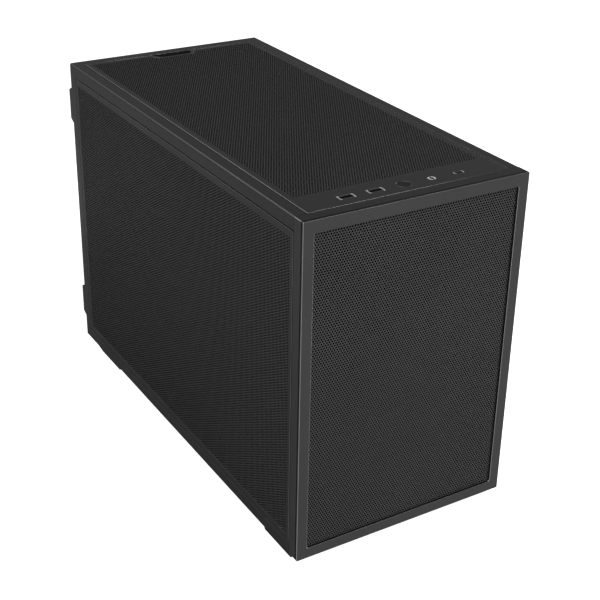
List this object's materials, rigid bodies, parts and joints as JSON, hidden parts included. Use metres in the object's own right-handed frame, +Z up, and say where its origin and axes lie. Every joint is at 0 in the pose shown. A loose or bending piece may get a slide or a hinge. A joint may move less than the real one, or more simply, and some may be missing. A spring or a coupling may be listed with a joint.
{
  "type": "computer case",
  "caption": "Upright micro ATX computer case in black steel with finely perforated push-fit front, side and top panels, sockets and a power button on its roof, and four low feet.",
  "frame": {"origin": "middle of the case's overall box, at the underside of its feet", "axes": "+X to the right seen from the front, +Y from the front to the rear, +Z up"},
  "size_m": [0.215, 0.4646, 0.32],
  "materials": {
    "frame_steel": "satin powder coat, near black",
    "panel_steel": "satin powder coat, near black",
    "front_plastic": "fine matt, dark grey",
    "foot_plastic": "matt black",
    "pad_rubber": "matt",
    "socket_metal": "bright plated",
    "jack_metal": "bright plated",
    "pin_metal": "bright",
    "tongue_plastic": "matt black",
    "inlet_plastic": "matt black",
    "circuit_board": "dark green lacquer",
    "switch_plastic": "matt black",
    "button_plastic": "fine matt, near black",
    "stud_plastic": "matt black",
    "filter_net": "fine black net",
    "filter_plastic": "matt black",
    "screw_steel": "zinc plated",
    "brass_standoff": "turned"
  },
  "bodies": {
    "chassis": {"outer_frame": "frame_steel", "bottom_plate": "frame_steel", "front_plate": "frame_steel", "rear_plate": "frame_steel", "motherboard_tray": "frame_steel", "psu_bracket": "frame_steel", "psu_bracket_screws": "screw_steel", "drive_plate": "frame_steel", "drive_plate_screws": "screw_steel", "board_standoffs": "brass_standoff", "slot_screws": "screw_steel", "slot_cover_1": "frame_steel", "slot_cover_2": "frame_steel", "slot_cover_3": "frame_steel", "slot_cover_4": "frame_steel", "ac_inlet": "inlet_plastic", "ac_inlet_pins": "pin_metal", "ac_inlet_screws": "screw_steel", "port_bracket": "frame_steel", "port_bracket_screws": "screw_steel", "port_board": "circuit_board", "usb_a_shell_1": "socket_metal", "usb_a_shell_2": "socket_metal", "usb_a_tongue_1": "tongue_plastic", "usb_a_tongue_2": "tongue_plastic", "usb_c_shell": "socket_metal", "usb_c_tongue": "tongue_plastic", "headset_jack": "jack_metal", "power_switch": "switch_plastic", "button_guide": "switch_plastic", "left_panel_sockets": "stud_plastic", "right_panel_sockets": "stud_plastic", "top_panel_sockets": "stud_plastic", "front_panel_sockets": "stud_plastic", "foot_front_left": "foot_plastic", "foot_front_right": "foot_plastic", "foot_rear_left": "foot_plastic", "foot_rear_right": "foot_plastic", "foot_pad_front_left": "pad_rubber", "foot_pad_front_right": "pad_rubber", "foot_pad_rear_left": "pad_rubber", "foot_pad_rear_right": "pad_rubber"},
    "left_side": {"left_panel": "panel_steel", "left_panel_studs": "stud_plastic"},
    "right_side": {"right_panel": "panel_steel", "right_panel_studs": "stud_plastic"},
    "top": {"top_panel": "panel_steel", "top_panel_studs": "stud_plastic"},
    "front": {"front_bezel": "front_plastic", "front_shell": "front_plastic", "front_mesh": "panel_steel", "front_filter_frame": "filter_plastic", "front_filter_net": "filter_net", "front_panel_studs": "stud_plastic"},
    "power": {"power_button": "button_plastic", "switch_plunger": "switch_plastic"},
    "bottom_filter": {"bottom_filter_frame": "filter_plastic", "bottom_filter_net": "filter_net"}
  },
  "joints": [
    {"name": "left_panel_pull", "type": "slide", "parent": "chassis", "child": "left_side", "axis": [-1, 0, 0], "range_m": [0, 0.15]},
    {"name": "right_panel_pull", "type": "slide", "parent": "chassis", "child": "right_side", "axis": [1, 0, 0], "range_m": [0, 0.15]},
    {"name": "top_panel_lift", "type": "slide", "parent": "chassis", "child": "top", "axis": [0, 0, 1], "range_m": [0, 0.08]},
    {"name": "front_panel_pull", "type": "slide", "parent": "chassis", "child": "front", "axis": [0, -1, 0], "range_m": [0, 0.08]},
    {"name": "power_button_press", "type": "slide", "parent": "chassis", "child": "power", "axis": [0, 0, -1], "range_m": [0, 0.0008], "stiffness_N_per_m": 2500},
    {"name": "bottom_filter_slide", "type": "slide", "parent": "chassis", "child": "bottom_filter", "axis": [0, 1, 0], "range_m": [0, 0.3]}
  ]
}
